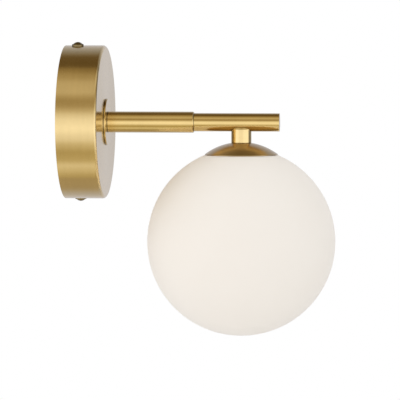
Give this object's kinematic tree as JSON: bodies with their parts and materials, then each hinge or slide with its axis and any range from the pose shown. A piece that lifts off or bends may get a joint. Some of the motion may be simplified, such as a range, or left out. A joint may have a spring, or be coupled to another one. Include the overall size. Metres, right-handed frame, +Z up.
{
  "type": "globe wall sconce",
  "caption": "Wall light with a round brass canopy, a straight stepped arm and an opal glass globe hung under the arm's end by a short stem and a domed cap.",
  "frame": {"origin": "on the wall plane, at the centre of the wall bracket and of the canopy, which is the arm's axis", "axes": "+X out of the wall along the arm, +Z up, +Y to the left of someone who faces the wall"},
  "size_m": [0.2153, 0.15, 0.2339],
  "materials": {
    "satin_brass": "satin brushed, clear lacquered",
    "plain_brass": "machined",
    "zinc_steel": "bright zinc plated",
    "spring_steel": "rolled spring strip",
    "tinned_metal": "tinned",
    "green_screw": "green passivated",
    "opal_glass": "blown opal, satin outside",
    "frosted_glass": "frosted",
    "white_ceramic": "unglazed steatite",
    "lamp_ceramic": "pressed",
    "emitter_strip": "phosphor coat",
    "white_plastic": "moulded nylon",
    "silicone": "soft ring",
    "cable_sheath": "round sheath",
    "lead_brown": "insulation",
    "lead_blue": "insulation",
    "lead_green": "insulation, green and yellow",
    "lead_white": "silicone and glass-fibre insulation"
  },
  "bodies": {
    "wall_mount": {"canopy_cover": "satin_brass", "canopy_side_screws": "satin_brass", "wall_bracket": "zinc_steel", "terminal_block": "white_plastic", "terminal_inserts": "plain_brass", "terminal_screws": "zinc_steel", "terminal_fixing_screw": "zinc_steel", "earth_cup_washer": "plain_brass", "earth_ring_terminal": "tinned_metal", "earth_screw": "green_screw", "live_lead": "lead_brown", "neutral_lead": "lead_blue", "earth_lead": "lead_green"},
    "arm": {"base_flange": "satin_brass", "stop_pin": "zinc_steel", "arm_nipple": "zinc_steel", "slide_washer": "white_plastic", "spring_washer": "zinc_steel", "nipple_nuts": "zinc_steel", "cable_bush": "white_plastic", "sleeve_plug": "plain_brass", "arm_sleeve": "satin_brass", "arm_tube": "satin_brass", "arm_end_cap": "satin_brass", "drop_stem": "satin_brass", "stem_nipple": "zinc_steel", "globe_cap": "satin_brass", "cap_gasket": "silicone", "cap_nut": "zinc_steel", "spring_gallery": "spring_steel", "holder_bracket": "zinc_steel", "holder_nut": "zinc_steel", "holder_screws": "zinc_steel", "lamp_holder": "white_ceramic", "holder_contacts": "tinned_metal", "arm_cable": "cable_sheath", "holder_leads": "lead_white"},
    "globe": {"glass_globe": "opal_glass"},
    "lamp": {"lamp_base": "lamp_ceramic", "lamp_pins": "tinned_metal", "lamp_bulb": "frosted_glass", "lamp_emitter": "emitter_strip"}
  },
  "joints": [
    {"name": "arm_swivel", "type": "hinge", "parent": "wall_mount", "child": "arm", "pos_m": [0.032, 0, 0], "axis": [1, 0, 0], "range_deg": [-90, 90]},
    {"name": "globe_release", "type": "slide", "parent": "arm", "child": "globe", "axis": [0, 0, -1], "range_m": [0, 0.075]},
    {"name": "lamp_pull", "type": "slide", "parent": "arm", "child": "lamp", "axis": [0, 0, -1], "range_m": [0, 0.018]}
  ]
}
